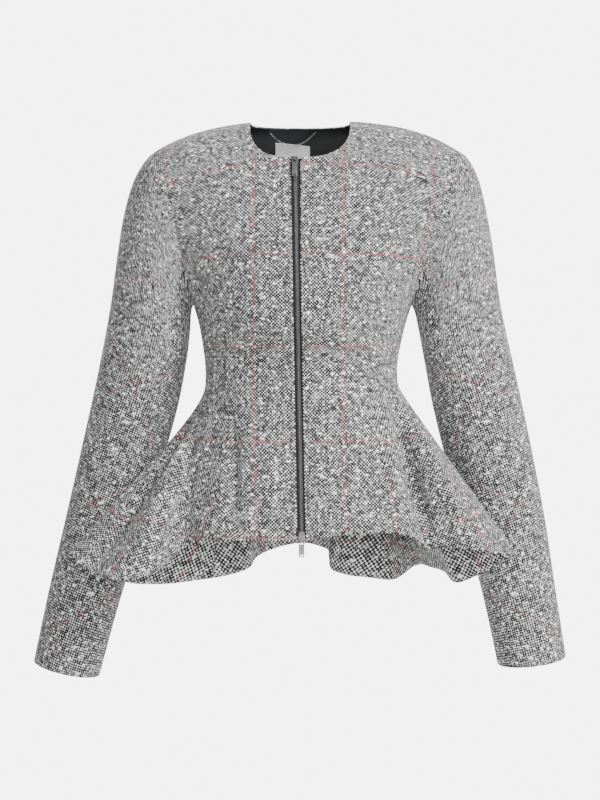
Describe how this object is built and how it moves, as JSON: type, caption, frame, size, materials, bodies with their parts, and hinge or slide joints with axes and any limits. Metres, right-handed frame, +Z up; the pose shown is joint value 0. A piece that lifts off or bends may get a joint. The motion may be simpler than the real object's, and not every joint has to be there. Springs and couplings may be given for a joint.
{
  "type": "tweed jacket",
  "caption": "Collarless fitted tweed jacket with long two-piece sleeves, a two-way metal zip and a fluted peplum, filled out as worn.",
  "frame": {"origin": "middle of the shoulders, where the wearer holds the jacket up", "axes": "+Z up, -Y out of the front, +X to the wearer's left"},
  "size_m": [0.6463, 0.2647, 0.6706],
  "materials": {
    "tweed": "black and white checked wool tweed with pale slubs and a faint red windowpane",
    "zip_tape": "black woven tape",
    "zip_metal": "dull silver metal",
    "satin": "black satin",
    "label": "white woven label, blank"
  },
  "bodies": {
    "jacket": {"front_left": "tweed", "front_right": "tweed", "side_front_left": "tweed", "side_front_right": "tweed", "side_back_left": "tweed", "side_back_right": "tweed", "back_left": "tweed", "back_right": "tweed", "upper_sleeve_left": "tweed", "upper_sleeve_right": "tweed", "under_sleeve_left": "tweed", "under_sleeve_right": "tweed", "zip_tape_left": "zip_tape", "zip_tape_right": "zip_tape", "zip_chain": "zip_metal", "top_slider": "zip_metal", "bottom_slider": "zip_metal", "back_neck_lining": "satin", "neck_label": "label", "hanger_chain": "zip_metal"},
    "top_tab": {"top_pull": "zip_metal"},
    "bottom_tab": {"bottom_pull": "zip_metal"}
  },
  "joints": [
    {"name": "top_tab_hinge", "type": "hinge", "parent": "jacket", "child": "top_tab", "pos_m": [-0.00653, -0.06544, -0.02633], "axis": [-1, 0, 0], "range_deg": [0, 150]},
    {"name": "bottom_tab_hinge", "type": "hinge", "parent": "jacket", "child": "bottom_tab", "pos_m": [0.00173, -0.10922, -0.4766], "axis": [-1, 0, 0], "range_deg": [0, 150]}
  ]
}
